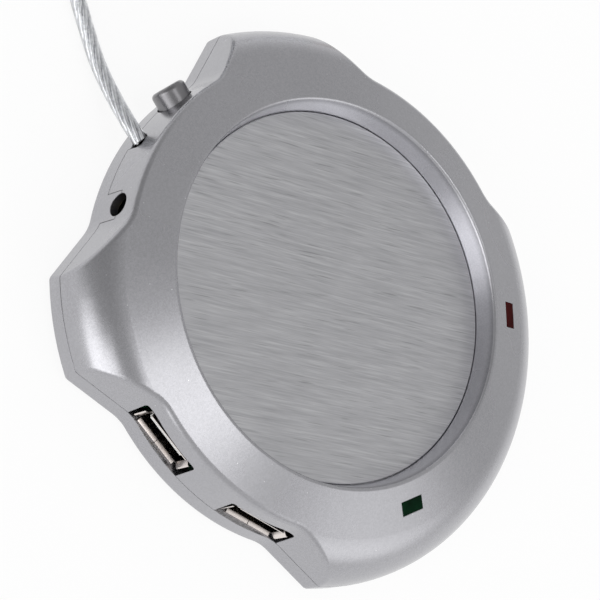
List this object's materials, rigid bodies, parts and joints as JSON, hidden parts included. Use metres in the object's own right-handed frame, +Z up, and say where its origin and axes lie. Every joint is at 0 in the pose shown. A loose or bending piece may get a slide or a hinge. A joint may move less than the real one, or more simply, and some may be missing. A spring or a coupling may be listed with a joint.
{
  "type": "electric mug warmer",
  "caption": "Low round warmer with a recessed heating plate for a mug, receptacles in its sides, a push button and a cord.",
  "frame": {"origin": "on the table plane, under the centre of the heating plate", "axes": "+Z up, +Y towards the button, cord and power inlet, lamps at -Y, receptacles at -X and +X"},
  "size_m": [0.1588, 0.1813, 0.0198],
  "materials": {
    "case_paint": "moulded plastic with fine metallic silver paint",
    "plate_metal": "brushed in one direction",
    "button_paint": "plated silver",
    "lamp_green": "clear tinted",
    "lamp_red": "clear tinted",
    "receptacle_steel": "plated sheet",
    "receptacle_white": "moulded",
    "contact_gold": "gold plated",
    "jack_black": "moulded",
    "screw_steel": "zinc plated",
    "board_green": "solder mask on glass laminate",
    "chip_black": "moulded",
    "can_metal": "drawn can",
    "heater_film": "amber film",
    "pad_felt": "felt",
    "wire_black": "insulated wire",
    "strap_plastic": "moulded",
    "feet_rubber": "moulded",
    "cord_clear": "clear jacket over a silver shield",
    "plug_clear": "clear moulding"
  },
  "bodies": {
    "case": {"top_cover": "case_paint", "bottom_cover": "case_paint", "heating_plate": "plate_metal", "lamp_green": "lamp_green", "led_green": "lamp_green", "lamp_red": "lamp_red", "led_red": "lamp_red", "usb_shell_right_back": "receptacle_steel", "usb_shell_right_front": "receptacle_steel", "usb_shell_left_back": "receptacle_steel", "usb_shell_left_front": "receptacle_steel", "plug_shell": "receptacle_steel", "usb_tongue_right_back": "receptacle_white", "usb_tongue_right_front": "receptacle_white", "usb_tongue_left_back": "receptacle_white", "usb_tongue_left_front": "receptacle_white", "plug_insert": "receptacle_white", "usb_contacts_right_back": "contact_gold", "usb_contacts_right_front": "contact_gold", "usb_contacts_left_back": "contact_gold", "usb_contacts_left_front": "contact_gold", "plug_contacts": "contact_gold", "switch_terminals": "contact_gold", "dc_jack_pin": "contact_gold", "dc_jack": "jack_black", "switch_body": "jack_black", "case_screws": "screw_steel", "board_screws": "screw_steel", "heater_clamp_screws": "screw_steel", "plate_clip_screws": "screw_steel", "cord_strap_screw": "screw_steel", "heater_clamp": "screw_steel", "plate_clips": "screw_steel", "circuit_board": "board_green", "hub_chip": "chip_black", "resistors": "chip_black", "thermal_cutout": "chip_black", "crystal": "can_metal", "capacitors": "can_metal", "heater_element": "heater_film", "insulation_pad": "pad_felt", "heater_leads": "wire_black", "cord_leads": "wire_black", "cord_strap": "strap_plastic", "coil_tie": "strap_plastic", "rubber_feet": "feet_rubber", "cord": "cord_clear", "cord_coil": "cord_clear", "cord_tail": "cord_clear", "cord_inner": "cord_clear", "plug_grip": "plug_clear"},
    "button": {"power_button": "button_paint"}
  },
  "joints": [
    {"name": "button_press", "type": "slide", "parent": "case", "child": "button", "axis": [-0.3256, -0.9455, 0], "range_m": [0, 0.0024], "stiffness_N_per_m": 700}
  ]
}
